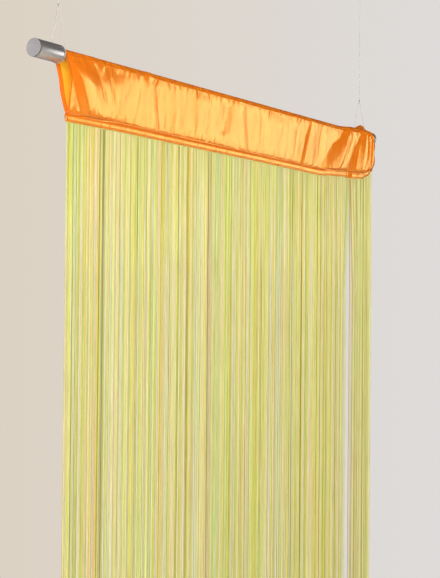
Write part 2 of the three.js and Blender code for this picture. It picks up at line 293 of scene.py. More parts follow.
def woven(tree, flat_cloth, warp_count, weft_count, weft_share):
    """The height of the threads, from a cloth's own UV map."""
    return place_group(tree, woven_threads, {
        "Coordinates": flat_cloth,
        "Warp Count": warp_count,
        "Weft Count": weft_count,
        "Weft Share": weft_share,
    })["Height"]


# %% [markdown]
# Drawn or turned metal carries fine parallel scratches. They are a noise stretched hard one way, so the
# group takes a stretch for each axis.

# %% Group: drawn grain
drawn_grain, given, result = new_group(
    "Drawn grain",
    {"Coordinates": "vector", "Stretch": "vector", "Roughness": "number", "Spread": "number"},
    {"Height": "number", "Roughness": "number"},
)
stretched = add_node(drawn_grain, "ShaderNodeVectorMath",
                     {0: given["Coordinates"], 1: given["Stretch"]}, operation="MULTIPLY")
scratches = add_node(drawn_grain, "ShaderNodeTexNoise", {
    "Vector": stretched.outputs["Vector"],
    "Scale": 1,
    "Detail": 5,
    "Roughness": 0.65,
})
centred = math_node(drawn_grain, "SUBTRACT", scratches.outputs["Fac"], 0.5)
spread = math_node(drawn_grain, "MULTIPLY", centred, given["Spread"])
drawn_grain.links.new(scratches.outputs["Fac"], result["Height"])
drawn_grain.links.new(math_node(drawn_grain, "ADD", given["Roughness"], spread), result["Roughness"])


def grained(tree, where, stretch, roughness, spread, strength):
    """The roughness and the normal of a grained metal."""
    grain = place_group(tree, drawn_grain, {
        "Coordinates": where, "Stretch": stretch, "Roughness": roughness, "Spread": spread,
    })
    return grain["Roughness"], bump(tree, grain["Height"], strength, distance=0.0003)


print("Shared effects:", [group.name for group in (uneven_tone, woven_threads, drawn_grain)])

# %% [markdown]
# ## Nylon lines
# Each line is a clear monofilament. It comes down from its ceiling button to a knot, goes down behind
# the finial, under it and up in front, and back into the knot. A curve with a round bevel is the plain
# way to make a line of constant thickness, and its route is the same as the CAD's.

# %% Finish: clear nylon
clear_nylon, tree, shader = new_material("clear_nylon", {
    "Transmission Weight": 0.35,
    "IOR": 1.53,
    "Specular IOR Level": 0.3,
})
tone = uneven(tree, object_coordinates(tree), linear(196, 193, 188), linear(176, 173, 169),
              scale=60, amount=0.5)
dress(tree, shader, tone["Colour"], map_range(tree, tone["Mask"], 0.35, 0.5))

# %% Route of a line
LEG_ENTRY = LINE["diameter"] * 0.65
LEG_JOIN = 4
LOOP_SLOPE = math.asin(LINE["loop_radius"] / LINE["knot_height"])
LOOP_STEPS = 28


def line_route():
    """(y, z) points in millimetres about the rod's axis, from the knot round the loop to the ceiling."""
    route = [(LEG_ENTRY, LINE["knot_height"])]
    for step in range(LOOP_STEPS + 1):
        angle = lerp(LOOP_SLOPE, -math.pi - LOOP_SLOPE, step / LOOP_STEPS)
        route.append((LINE["loop_radius"] * math.cos(angle), LINE["loop_radius"] * math.sin(angle)))
    route.append((-LEG_ENTRY, LINE["knot_height"]))
    route.append((0, LINE["knot_height"] + LEG_JOIN))
    route.append((0, -AXIS_Z - FITTING["plate"] - FITTING["boss"] - GAP))
    return route


# %% Draw a line
def nylon_line(name, x):
    curve = bpy.data.curves.new(name, "CURVE")
    curve.dimensions = "3D"
    curve.bevel_depth = LINE["diameter"] / 2 * MM
    curve.bevel_resolution = 2
    curve.use_fill_caps = True
    route = line_route()
    spline = curve.splines.new("POLY")
    spline.points.add(len(route) - 1)
    for point, (y, z) in zip(spline.points, route):
        point.co = (x * MM, y * MM, (AXIS_Z + z) * MM, 1)
    curve.materials.append(clear_nylon)
    line = place_object(name, curve)
    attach(line, "root")
    return line


# %% [markdown]
# The knot is a barrel knot: the line's tail wound four times round the line. Spinning a small circle
# with a rise in every step is how bmesh makes such a coil.

# %% Barrel knot
KNOT = {"turns": 4, "coil_radius": 0.95, "pitch": 0.95, "steps_each_turn": 14, "sides": 8}


def barrel_knot(name, x):
    bm = bmesh.new()
    bmesh.ops.create_circle(bm, cap_ends=True, segments=KNOT["sides"], radius=LINE["diameter"] / 2)
    bmesh.ops.rotate(bm, verts=bm.verts, cent=(0, 0, 0), matrix=Matrix.Rotation(math.pi / 2, 3, "X"))
    bmesh.ops.translate(bm, verts=bm.verts, vec=(KNOT["coil_radius"], 0, 0))
    bmesh.ops.spin(
        bm, geom=bm.faces[:], cent=(0, 0, 0), axis=(0, 0, 1), angle=math.tau * KNOT["turns"],
        steps=KNOT["turns"] * KNOT["steps_each_turn"], use_merge=False, use_duplicate=False,
        dvec=(0, 0, KNOT["pitch"] / KNOT["steps_each_turn"]),
    )
    bmesh.ops.recalc_face_normals(bm, faces=bm.faces)
    half_height = KNOT["turns"] * KNOT["pitch"] / 2
    bmesh.ops.translate(bm, verts=bm.verts, vec=(x, 0, AXIS_Z + LINE["knot_height"] - half_height))
    return make_piece(bm, name, clear_nylon)


# %% [markdown]
# ## Ceiling buttons
# The photograph doesn't show what the lines hang from, so each ends in a plain painted button. A
# lathe makes it: a profile with a rounded rim and a tapered boss, spun about the vertical axis.

# %% Lathe
LATHE_STEPS = 96
BUTTON_STEPS = 64
SAME_PLACE = 1e-4


def arc_points(centre, radius, start, end, count):
    """Points of a rounded corner, in (along, radius) pairs, from one angle in degrees to another."""
    angles = [math.radians(lerp(start, end, step / (count - 1))) for step in range(count)]
    return [(centre[0] + radius * math.cos(a), centre[1] + radius * math.sin(a)) for a in angles]


def turned(profile, steps=LATHE_STEPS):
    """A solid of revolution about X, from (along X, radius) pairs."""
    bm = bmesh.new()
    corners = [bm.verts.new((along, 0, radius)) for along, radius in profile]
    edges = [bm.edges.new(pair) for pair in zip(corners, corners[1:])]
    bmesh.ops.spin(bm, geom=corners + edges, cent=(0, 0, 0), axis=(1, 0, 0), dvec=(0, 0, 0),
                   angle=math.tau, steps=steps, use_merge=True, use_duplicate=False)
    bmesh.ops.remove_doubles(bm, verts=bm.verts, dist=SAME_PLACE)
    bmesh.ops.recalc_face_normals(bm, faces=bm.faces)
    return bm


# %% Keep sharp corners crisp on smooth pieces
SHARP_CORNER = math.radians(35)


def keep_corners(piece):
    piece.data.set_sharp_from_angle(angle=SHARP_CORNER)


# %% Finish: painted metal
painted_white, tree, shader = new_material("painted_white", {"Coat Weight": 0.15, "Coat Roughness": 0.3})
where = object_coordinates(tree)
tone = uneven(tree, where, linear(238, 238, 234), linear(222, 221, 215), scale=90, amount=0.6)
peel = add_node(tree, "ShaderNodeTexNoise", {"Vector": where, "Scale": 700, "Detail": 2}).outputs["Fac"]
paint_roughness = map_range(tree, tone["Mask"], 0.38, 0.55)
dress(tree, shader, tone["Colour"], paint_roughness, bump(tree, peel, strength=0.12, distance=0.0004))


# %% Ceiling button
def ceiling_button(name, x):
    rim, tip_rim, bevel, bore, bore_depth = 0.8, 0.7, 0.6, 0.6, 2
    plate, neck, bottom = FITTING["plate"], FITTING["neck"], FITTING["plate"] + FITTING["boss"]
    profile = (
        [(0, 0), (0, FITTING["radius"])]
        + arc_points((plate - rim, FITTING["radius"] - rim), rim, 90, 0, 6)
        + [(plate, neck + bevel), (plate + bevel, neck)]
        + arc_points((bottom - tip_rim, FITTING["tip"] - tip_rim), tip_rim, 90, 0, 5)
        + [(bottom, bore), (bottom - bore_depth, bore), (bottom - bore_depth, 0)]
    )
    bm = turned(profile, BUTTON_STEPS)
    bmesh.ops.rotate(bm, verts=bm.verts, cent=(0, 0, 0), matrix=Matrix.Rotation(math.pi / 2, 3, "Y"))
    bmesh.ops.translate(bm, verts=bm.verts, vec=(x, 0, 0))
    button = make_piece(bm, name, painted_white)
    keep_corners(button)
    return button


# %% Hang both lines
for side_name, side in (("left", -1), ("right", 1)):
    x = side * LINE["half_spacing"]
    line = nylon_line(f"nylon_line_{side_name}", x)
    knot = barrel_knot(f"line_knot_{side_name}", x)
    button = ceiling_button(f"ceiling_button_{side_name}", x)
    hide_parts(f"line_{side_name}")
    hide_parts(f"ceiling_fitting_{side_name}")

# %% [markdown]
# ## Rod and finials
# The rod is a drawn steel tube. Each finial is a sleeve with a satin finish, a soft shoulder at its inner
# end and a pale disc plugged into its outer end. All of them are turned parts, so the lathe makes them,
# with three times the CAD's facets.

# %% Finish: satin steel
satin_steel, tree, shader = new_material("satin_steel", {"Metallic": 0.92, "Anisotropic": 0.35})
where = object_coordinates(tree)
tone = uneven(tree, where, linear(218, 215, 215), linear(207, 204, 204), scale=45, amount=0.7)
steel_grain = grained(tree, where, stretch=(30, 1800, 1800), roughness=0.34, spread=0.16, strength=0.15)
dress(tree, shader, tone["Colour"], *steel_grain)

# %% Finish: pale disc, with painted shade of the gap at its rim
GAP_SHADE_RING = {"inner": FINIAL["radius"] - 0.45, "outer": FINIAL["radius"] - 0.2}
pale_disc, tree, shader = new_material("pale_disc", {"Metallic": 0.2, "Specular IOR Level": 0.4})
where = object_coordinates(tree)
tone = uneven(tree, where, linear(157, 155, 157), linear(148, 146, 149), scale=120, amount=0.6)
disc_grain = grained(tree, where, stretch=(900, 900, 900), roughness=0.5, spread=0.2, strength=0.1)
from_axis = add_node(tree, "ShaderNodeMapping", {
    "Vector": where, "Location": (0, 0, -AXIS_Z * MM), "Scale": (0, 1, 1),
}).outputs["Vector"]
radius = add_node(tree, "ShaderNodeVectorMath", {0: from_axis}, operation="LENGTH").outputs["Value"]
# A dark ring near the rim is painted shade. It stands for the gap between the disc and its sleeve.
gap_shade = map_range(tree, radius, 0, 1, start=GAP_SHADE_RING["inner"] * MM, end=GAP_SHADE_RING["outer"] * MM)
dress(tree, shader, mix_colours(tree, gap_shade, tone["Colour"], linear(84, 76, 72)), *disc_grain)


# %% Rod
def rod_profile():
    half = ROD["length"] / 2
    inner = ROD["radius"] - ROD["wall"]
    return [(-half, inner), (-half, ROD["radius"]), (half, ROD["radius"]), (half, inner), (-half, inner)]


bm = turned(rod_profile())
bmesh.ops.translate(bm, verts=bm.verts, vec=(0, 0, AXIS_Z))
rod = make_piece(bm, "curtain_rod", satin_steel)
keep_corners(rod)
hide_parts("rod")


# %% Finial sleeves and discs
def sleeve_profile():
    """From the socket for the rod, over the rounded shoulder, to the recess for the disc's plug."""
    socket_depth, socket = ROD["length"] / 2 - SHOULDER + GAP, ROD["radius"] + GAP
    rounding, lip = FINIAL["rounding"], 0.2
    end, recess = FINIAL["length"] - FINIAL["cap"] - GAP, FINIAL["plug"] + GAP
    recess_end = end - FINIAL["plug_depth"] - GAP
    return (
        [(socket_depth, 0), (socket_depth, socket), (0, socket)]
        + arc_points((rounding, FINIAL["radius"] - rounding), rounding, 180, 90, 7)
        + arc_points((end - lip, FINIAL["radius"] - lip), lip, 90, 0, 4)
        + [(end, recess), (recess_end, recess), (recess_end, 0)]
    )


def disc_profile():
    """From the plug's end to the disc's face, which is dished by a fraction of a millimetre."""
    rim, bevel, dish = 0.5, 0.3, 0.15
    radius = FINIAL["radius"] - 0.1
    plug_end, face = -FINIAL["plug_depth"] - GAP, FINIAL["cap"]
    return (
        [(plug_end, 0), (plug_end, FINIAL["plug"]), (0, FINIAL["plug"]), (0, radius - bevel), (bevel, radius)]
        + arc_points((face - rim, radius - rim), rim, 90, 0, 6)
        + [(face, radius - 1.3), (face - dish, radius - 1.6), (face - dish, 0)]
    )


def place_turned(profile, name, material, start, side):
    """A turned piece that points outwards from `start` along the rod, on the given side."""
    bm = turned(profile)
    if side < 0:
        bmesh.ops.rotate(bm, verts=bm.verts, cent=(0, 0, 0), matrix=Matrix.Rotation(math.pi, 3, "Z"))
    bmesh.ops.translate(bm, verts=bm.verts, vec=(side * start, 0, AXIS_Z))
    piece = make_piece(bm, name, material)
    keep_corners(piece)
    return piece


for side_name, side in (("left", -1), ("right", 1)):
    sleeve = place_turned(sleeve_profile(), f"finial_sleeve_{side_name}", satin_steel, SHOULDER, side)
    disc_start = OVERALL_LENGTH / 2 - FINIAL["cap"]
    disc = place_turned(disc_profile(), f"finial_disc_{side_name}", pale_disc, disc_start, side)
    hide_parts(f"finial_{side_name}")
    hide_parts(f"finial_cap_{side_name}")

# %% [markdown]
# ## How the heading hangs
# The heading is one strip of satin, 1000 mm wide and 206 mm deep before it was hung: a hem at each
# edge, a front, the turn over the rod and a back. Its shape is worked out from where each point of
# the flat strip comes to lie: tight over the rod, bellied between the rod and the hem, and pushed
# over the finial at the right, where the nylon line gathers it. A cloth simulation could make such
# folds too, but tables put every fold where the photograph has it. Each names its columns once.

# %% Hem line and belly
def table(columns, *rows):
    """Rows as dictionaries, one value for each column."""
    return [dict(zip(columns.split(), row)) for row in rows]


HEM_LINE = table("at lift back",
    (0, 0, 0), (130, 0.6, -1), (320, 0.4, 0.8), (500, -0.4, -0.8), (660, -0.8, 0.6),
    (770, -2, -0.6), (828, 1.8, -1.4), (880, 5, 0), (894, 4.2, 3.4), (912, 4.8, -0.6),
    (947, 7.2, -3.6), (971, 14, -3.2), (1000, 27, -1.4),
)
BELLY = table("at front rear",
    (0, 5, 1.5), (70, 4.2, 1), (200, 1.6, 1), (300, 1, 1), (780, 1, 1), (880, 2, 2), (955, 2.6, 3),
    (1000, 3, 2.4),
)

# %% [markdown]
# Soft folds come next. Top is where a fold meets the level of the rod's axis and bottom where it meets
# the hem. A positive depth stands out from the layer, and a negative one is a trough in it.

# %% Soft folds
FOLD = "top bottom width depth"
FRONT_FOLDS = table(FOLD,
    (20, 74, 13, 1.2), (202, 228, 20, -1.1), (340, 346, 30, 1), (478, 499, 22, -1.2),
    (620, 612, 30, 1),
)
REAR_FOLDS = table(FOLD,
    (30, 60, 18, -1.4), (275, 282, 30, 1), (548, 540, 30, -1), (842, 820, 18, 1.8),
    (905, 886, 11, -2.8), (958, 956, 10, -1.8),
)

# %% [markdown]
# Pleats are crisp. Each row is a line on the cloth, flat facets join the lines, and "out" is how far a
# line stands proud of the smooth cloth. A bend carries a line's middle along the curtain. The left end
# and the middle have one pleat each, and the gathered end has several.

# %% Pleats
PLEAT = "top bottom bend out"
LEFT_PLEAT = table(PLEAT,
    (-6, 33, -8, 0), (4, 47, -2, 4.6), (78, 125, 0, 0),
)
MIDDLE_PLEAT = table(PLEAT,
    (650, 630, 0, 0), (708, 689, 0, -1.3), (724, 707, 1, 1.9), (775, 765, 0, 0),
)
RIGHT_PLEATS = table(PLEAT,
    (740, 650, 0, 0), (850, 773, -6, -2.8), (868, 832, 3, 7.4), (908, 879, -3, 6.6),
    (912, 883, -3, 0), (927, 903, -3, 4.4), (931, 932, 0, 7.4), (935, 941, 3, 7.4),
    (939, 947, 3, 3), (954, 962, 3, 6.4), (970, 986, 0, 9), (1001, 1001, 0, 3),
)
PLEAT_ROUNDING = 0.35
PLEATS_AT_HEM = 0.85
OVER_FINIAL = {"from": 845, "to": 915}
RUFFLE = {"at": 951, "spread": 11, "height": 7.6, "half_angle": 24}
LINE_ROOM = {"spread": 15, "depth": 1.3}

# %% Side edges
LEFT_EDGE = {"rod_front": -15, "rod_rear": -13, "middle_front": -4, "middle_rear": -5.5, "reach": 70}
RIGHT_EDGE = {"rod_front": -23, "rod_rear": -13, "middle_front": -17, "middle_rear": -12, "reach": 60}


# %% Read the tables
def from_table(rows, key, at):
    """A value at a distance along the curtain, eased between the table's rows."""
    if at <= rows[0]["at"]:
        return rows[0][key]
    for before, after in zip(rows, rows[1:]):
        if at <= after["at"]:
            return lerp(before[key], after[key], smoothstep(at, before["at"], after["at"]))
    return rows[-1][key]


def hem_edge(at):
    """The hem's lower edge, as (y, z)."""
    return from_table(HEM_LINE, "back", at), AXIS_Z - CURTAIN["below_rod"] + from_table(HEM_LINE, "lift", at)


# %% Depth of the folds and pleats
FULL_ABOVE = 0.35
FOLDS_AT_HEM = 0.35
OUT_BELOW_ROD = {
    "folds": (0.7, 1), "troughs": (0.6, 0.9), "left_pleat": (0.8, 1), "waves": (0.75, 1),
    "creases": (0.85, 1),
}


def fades_out(height, kind):
    return 1 - smoothstep(height, *OUT_BELOW_ROD[kind])


def fold_depth(folds, at, height):
    """All folds together. They soften towards the hem and run out where the rod draws the cloth tight."""
    fade = FOLDS_AT_HEM + (1 - FOLDS_AT_HEM) * smoothstep(height, 0, FULL_ABOVE)
    fade *= fades_out(height, "folds")
    return fade * sum(
        fold["depth"] * bell(at - lerp(fold["bottom"], fold["top"], height), fold["width"]) for fold in folds
    )


def line_at(line, height):
    """Where a leaning, slightly bent fold line is at a height, from 0 at the hem to 1 at the rod."""
    return lerp(line["bottom"], line["top"], height) + line["bend"] * 4 * height * (1 - height)


def pleat_depth(at, height):
    """All pleats together. The left one and the troughs die out below the rod."""
    fade = lerp(PLEATS_AT_HEM, 1, smoothstep(height, 0, FULL_ABOVE))
    trough_fade = fades_out(height, "troughs")
    total = 0
    for pleats, at_rod in (
        (LEFT_PLEAT, fades_out(height, "left_pleat")), (MIDDLE_PLEAT, 1), (RIGHT_PLEATS, 1),
    ):
        for before, after in zip(pleats, pleats[1:]):
            start, end = line_at(before, height), line_at(after, height)
            if start < at <= end:
                share = (at - start) / (end - start)
                share = lerp(share, smoothstep(share, 0, 1), PLEAT_ROUNDING)
                out = lerp(before["out"], after["out"], share)
                total += fade * at_rod * (out if out > 0 else out * trough_fade)
    return total


# %% Where the side edges and the turn over the rod run
MIDDLE_HEIGHT = 0.5


def edge_shift(edge, distance, height, layer):
    middle = edge["middle_" + layer]
    if height < MIDDLE_HEIGHT:
        shift = lerp(0, middle, smoothstep(height, 0, MIDDLE_HEIGHT))
    else:
        shift = lerp(middle, edge["rod_" + layer], smoothstep(height, MIDDLE_HEIGHT, 1))
    return shift * (1 - smoothstep(distance, 0, edge["reach"]))


def along_rod(at, height, layer):
    from_right = CURTAIN["width"] - at
    shift = edge_shift(LEFT_EDGE, at, height, layer) + edge_shift(RIGHT_EDGE, from_right, height, layer)
    return CURTAIN["left"] + at + shift


def cloth_radius(at):
    """The middle of the cloth's thickness, where it goes round the rod or the right-hand finial."""
    on_finial = smoothstep(at, OVER_FINIAL["from"], OVER_FINIAL["to"])
    bare = lerp(ROD["radius"], FINIAL["radius"], on_finial) + CLOTH["thickness"] / 2 + CLOTH["clearance"]
    from_line = at - (LINE["half_spacing"] - CURTAIN["left"])
    return bare + LINE_ROOM["depth"] * bell(from_line, LINE_ROOM["spread"])


# %% [markdown]
# Real satin also has small creases that no CAD solid needs. Three kinds matter here: creases pressed
# into the front, short tear-shaped puckers where the cloth is gathered on the rod, and tiny puckers
# that the stitches draw along the hem. They are all a height above the smooth cloth, so they are added
# together, and the random ones come from one seeded draw.

# %% Small creases
PRESSED_CREASES = table("top bottom from to width depth",
    (50, 95, 0.3, 0.95, 1.8, -0.9), (83, 112, 0.3, 0.85, 1.8, -0.7),
    (202, 228, 0.1, 1.0, 1.8, -0.8), (430, 410, 0.28, 0.9, 12, -1.8),
    (478, 499, 0.02, 1.0, 2.0, -0.8), (532, 539, 0.1, 1.0, 2.4, -0.4),
    (712, 694, 0.05, 1.0, 3, -0.5), (765, 764, 0.3, 1.0, 2.4, -0.7),
    (876, 848, 0.05, 0.8, 3.4, -1.2), (900, 878, 0.1, 0.9, 3, -0.8),
    (962, 968, 0.15, 0.9, 2.6, -1.2),
)
crease_draw = random.Random(7)
FAINT_COUNT = 34
FAINT_CREASES = []
for _ in range(FAINT_COUNT):
    top = crease_draw.uniform(100, 800)
    low = crease_draw.uniform(0, 0.4)
    FAINT_CREASES.append({
        "top": top,
        "bottom": top + crease_draw.uniform(-14, 14),
        "from": low,
        "to": low + crease_draw.uniform(0.3, 0.6),
        "width": crease_draw.uniform(1.6, 4.5),
        "depth": crease_draw.uniform(-0.45, 0.3),
    })

ROD_PUCKERS = table("at width depth reach slant",
    (193, 9, 2.4, 15, 0), (60, 16, 1.6, 16, 0.5), (921, 5, -2.5, 14, -0.2), (964, 6, -3, 12, 0.8),
)
PUCKERED = {"from": 14, "to": 985}
pucker_at = PUCKERED["from"]
while pucker_at < PUCKERED["to"]:
    ROD_PUCKERS.append({
        "at": pucker_at,
        "width": crease_draw.uniform(1.8, 4.6),
        "depth": crease_draw.uniform(0.6, 1.7),
        "reach": crease_draw.choice([5, 6, 8, 10, 14, 20]),
        "slant": crease_draw.uniform(-0.35, 0.35),
    })
    pucker_at += crease_draw.uniform(7, 24)
print(len(PRESSED_CREASES) + len(FAINT_CREASES), "creases and", len(ROD_PUCKERS), "puckers at the rod")


# %% Height of the small creases
CREASE = {"widths": 4, "before_from": 0.12, "after_from": 0.08, "about_to": 0.1}


def creases(at, height):
    total = 0
    for crease in PRESSED_CREASES + FAINT_CREASES:
        off = at - lerp(crease["bottom"], crease["top"], height)
        if abs(off) < CREASE["widths"] * crease["width"]:
            low, high = crease["from"], crease["to"]
            ends = smoothstep(height, low - CREASE["before_from"], low + CREASE["after_from"])
            ends *= 1 - smoothstep(height, high - CREASE["about_to"], high + CREASE["about_to"])
            total += crease["depth"] * bell(off, crease["width"]) * ends
    return total


PUCKER = {"spread": 15, "narrowing": 0.45, "fades_from": 0.2, "past_reach": 4, "over_rod": (2, 11)}


def rod_puckers(at, below):
    """`below` is the distance on the cloth from the rod's level: positive down the front."""
    total = 0
    for pucker in ROD_PUCKERS:
        off = at - pucker["at"] - pucker["slant"] * below
        if abs(off) < PUCKER["spread"]:
            reach = pucker["reach"]
            narrowing = lerp(1, PUCKER["narrowing"], min(max(below / reach, 0), 1))
            window = 1 - smoothstep(below, PUCKER["fades_from"] * reach, reach + PUCKER["past_reach"])
            window *= 1 - smoothstep(-below, *PUCKER["over_rod"])
            total += pucker["depth"] * bell(off, pucker["width"] * narrowing) * window
    return total


# %% Random ripples
HEM_PUCKERS = {"middle": 15, "spread": 5.5, "full_above": 0.05}
WAVES_FULL_ABOVE = 0.25


def ripple(height, at, along, from_edge, up, seed):
    """A smooth random wave, whose size along and up the cloth is given."""
    return height * noise.noise(Vector((at / along, from_edge / up, seed)))


def hem_puckers(at, from_edge, side):
    fine = ripple(0.75, at, 3.1, from_edge, 14, 5 * side)
    coarse = ripple(0.7, at, 8, from_edge, 22, 9 * side)
    return (fine + coarse) * bell(from_edge - HEM_PUCKERS["middle"], HEM_PUCKERS["spread"])


def slow_waves(at, from_edge, side):
    broad = ripple(0.9, at, 46, from_edge, 40, 20 + side)
    narrow = ripple(0.3, at, 13, from_edge, 60, 30 + side)
    return broad + narrow


# %% [markdown]
# The hem is a flattened tube with two rows of stitches. It is pinched at each row and puffed between
# them, and a little ruffled at its lower edge, where every string pulls down.

# %% Where a point of the flat cloth hangs
FALL = CURTAIN["below_rod"] - CLOTH["hem"]
CLOTH_DEPTH = 2 * CURTAIN["below_rod"] + CLOTH["around_rod"]
STITCH_ROWS = {"lower": 1.6, "upper": 11.6}
PINCHED = TAPE["thickness"] / 2 + GAP
PUFF = 1.6
RUFFLED_EDGE = {"height": 0.7, "along": 4.2, "middle": 6, "spread": 4}
TUG = {"height": 0.45, "along": 2.6, "up_to": 3}
SEAM_RISE = {"height": 1.7, "within": 2.6}
PLEATS_PAST_ROD = 10


def hem_place(at, from_edge, side):
    y, z = hem_edge(at)
    lower, upper = STITCH_ROWS.values()
    between = min(max((from_edge - lower) / (upper - lower), 0), 1)
    puff = PUFF * math.sin(math.pi * between) ** 0.5
    ruffled = RUFFLED_EDGE["height"] * noise.noise(Vector((at / RUFFLED_EDGE["along"], 50, side)))
    ruffled *= bell(from_edge - RUFFLED_EDGE["middle"], RUFFLED_EDGE["spread"])
    tug = TUG["height"] * noise.noise(Vector((at / TUG["along"], 60, 0)))
    tug *= 1 - smoothstep(from_edge, 0, TUG["up_to"])
    return Vector((CURTAIN["left"] + at, y + side * (PINCHED + puff + ruffled), z + from_edge + tug))


def layer_place(at, from_edge, side):
    layer = "front" if side < 0 else "rear"
    height = (from_edge - CLOTH["hem"]) / FALL
    hem_y, hem_z = hem_edge(at)
    belly = from_table(BELLY, layer, at) * math.sin(math.pi * height)
    folds = fold_depth(FRONT_FOLDS if side < 0 else REAR_FOLDS, at, height)
    straight = lerp(hem_y + side * PINCHED, side * cloth_radius(at), height)
    small = slow_waves(at, from_edge, side) * fades_out(height, "waves")
    small *= smoothstep(height, 0, WAVES_FULL_ABOVE)
    small += hem_puckers(at, from_edge, side) * smoothstep(height, 0, HEM_PUCKERS["full_above"])
    if side < 0:
        small += pleat_depth(at, height)
    small += SEAM_RISE["height"] * (1 - math.exp(-(from_edge - CLOTH["hem"]) / SEAM_RISE["within"]))
    if side < 0:
        small += creases(at, height) * fades_out(height, "creases")
        small += rod_puckers(at, CURTAIN["below_rod"] - from_edge)
    y = straight + side * (belly + folds + small)
    z = lerp(hem_z + CLOTH["hem"], AXIS_Z, height)
    return Vector((along_rod(at, height, layer), y, z))


def wrap_place(at, past_front):
    """`past_front` runs over the rod from its front, 0, to its rear."""
    angle = math.pi * (1 - past_front / CLOTH["around_rod"])
    ruffle = RUFFLE["height"] * bell(at - RUFFLE["at"], RUFFLE["spread"])
    ruffle *= bell(math.degrees(angle) - 90, RUFFLE["half_angle"])
    radius = cloth_radius(at) + ruffle + rod_puckers(at, -past_front)
    radius += pleat_depth(at, 1) * (1 - smoothstep(past_front, 0, PLEATS_PAST_ROD))
    front_share = (1 - math.cos(angle)) / 2
    x = lerp(along_rod(at, 1, "rear"), along_rod(at, 1, "front"), front_share)
    return Vector((x, radius * math.cos(angle), AXIS_Z + radius * math.sin(angle)))


def cloth_place(at, across):
    """Where a point of the flat cloth hangs. `across` runs from the front hem's edge to the rear one's."""
    side = -1 if across < CLOTH_DEPTH / 2 else 1
    from_edge = min(across, CLOTH_DEPTH - across)
    if from_edge < CLOTH["hem"]:
        return hem_place(at, from_edge, side)
    if from_edge < CURTAIN["below_rod"]:
        return layer_place(at, from_edge, side)
    return wrap_place(at, across - CURTAIN["below_rod"])


# %% [markdown]
# ## Satin heading
# A grid is the flat cloth: one operator makes it, the hang moves its points, and a Solidify modifier
# gives it its thickness. Its rows are closer over the rod and in the front than at the back. The flat
# place of each point is kept as a UV map in metres, so the weave follows the cloth.
#
# Satin has a glossy face and a duller reverse, so there are two finishes, and the modifier gives the
# second one to the inner side. The reverse's paler, yellower orange is painted light, the glow of
# daylight coming through the thin cloth. Both carry painted shade, a deeper orange in the narrow side
# hems, which show on the rear layer, where the cloth lies twice and lets less light through, and along
# the sunken line of the upper seam.

# %% Painted shade where the satin lies twice and along its upper seam
SIDE_HEM_SHADE = {"front": 2.5, "rear": 9}
SEAM_SHADE = {"inner": 0.6, "outer": 1.5, "share": 0.9}


def doubled_edge_shade(tree, flat_cloth):
    """A mask of painted shade, in the side hems, where the cloth lies twice, and along the upper seam."""
    axes = add_node(tree, "ShaderNodeSeparateXYZ", {"Vector": flat_cloth}).outputs
    from_right_edge = math_node(tree, "SUBTRACT", CURTAIN["width"] * MM, axes["X"])
    from_edge = math_node(tree, "MINIMUM", axes["X"], from_right_edge)
    over_rod = CURTAIN["below_rod"] * MM, (CURTAIN["below_rod"] + CLOTH["around_rod"]) * MM
    # Painted shade in the side hems, where the cloth lies twice: narrow on the front layer, wide on the rear.
    hem_width = map_range(tree, axes["Y"], SIDE_HEM_SHADE["front"] * MM, SIDE_HEM_SHADE["rear"] * MM, *over_rod)
    hem_shade = map_range(tree, math_node(tree, "DIVIDE", from_edge, hem_width), 1, 0, start=0.9, end=1.1)
    # Painted shade along the sunken line of the upper seam.
    from_other_edge = math_node(tree, "SUBTRACT", CLOTH_DEPTH * MM, axes["Y"])
    from_fold = math_node(tree, "MINIMUM", axes["Y"], from_other_edge)
    off_seam = math_node(tree, "ABSOLUTE", math_node(tree, "SUBTRACT", from_fold, STITCH_ROWS["upper"] * MM))
    seam_shade = map_range(tree, off_seam, SEAM_SHADE["share"], 0,
                       start=SEAM_SHADE["inner"] * MM, end=SEAM_SHADE["outer"] * MM)
    return math_node(tree, "MAXIMUM", hem_shade, seam_shade)


# %% Finishes: the satin's face and its reverse
# Besides two colours of uneven dye, each finish takes a deeper orange that is painted shade, for the side
# hems and the upper seam.
def satin_finish(name, plain, light, shade, doubled_shade, roughness):
    material, tree, shader = new_material(name, plain)
    flat_cloth = add_node(tree, "ShaderNodeUVMap", uv_map="flat_cloth").outputs["UV"]
    tone = uneven(tree, flat_cloth, light, shade, scale=28, amount=0.55)
    threads = woven(tree, flat_cloth, warp_count=1800, weft_count=900, weft_share=0.35)
    colour = mix_colours(tree, doubled_edge_shade(tree, flat_cloth), tone["Colour"], doubled_shade)
    dress(tree, shader, colour, map_range(tree, tone["Mask"], roughness, roughness + 0.08),
          bump(tree, threads, strength=0.1, distance=0.0001))
    return material


orange_satin = satin_finish("orange_satin", {
    "IOR": 2.0,
    "Specular IOR Level": 1.0,
    "Specular Tint": (1.0, 0.85, 0.2, 1),
    "Subsurface Weight": 0.6,
    "Subsurface Radius": (1.0, 0.4, 0.1),
    "Subsurface Scale": 0.005,
}, light=linear(252, 112, 18), shade=linear(250, 102, 16), doubled_shade=linear(230, 80, 16), roughness=0.18)
# The reverse is duller than the face, and its paler, yellower orange is painted light: the glow of daylight
# through the thin cloth.
satin_reverse_painted_glow = satin_finish("satin_reverse_painted_glow", {
    "Specular IOR Level": 0.4,
    "Sheen Weight": 0.1,
    "Subsurface Weight": 0.6,
    "Subsurface Radius": (1.0, 0.6, 0.25),
    "Subsurface Scale": 0.005,
}, light=linear(240, 148, 44), shade=linear(236, 139, 38), doubled_shade=linear(200, 74, 22), roughness=0.6)

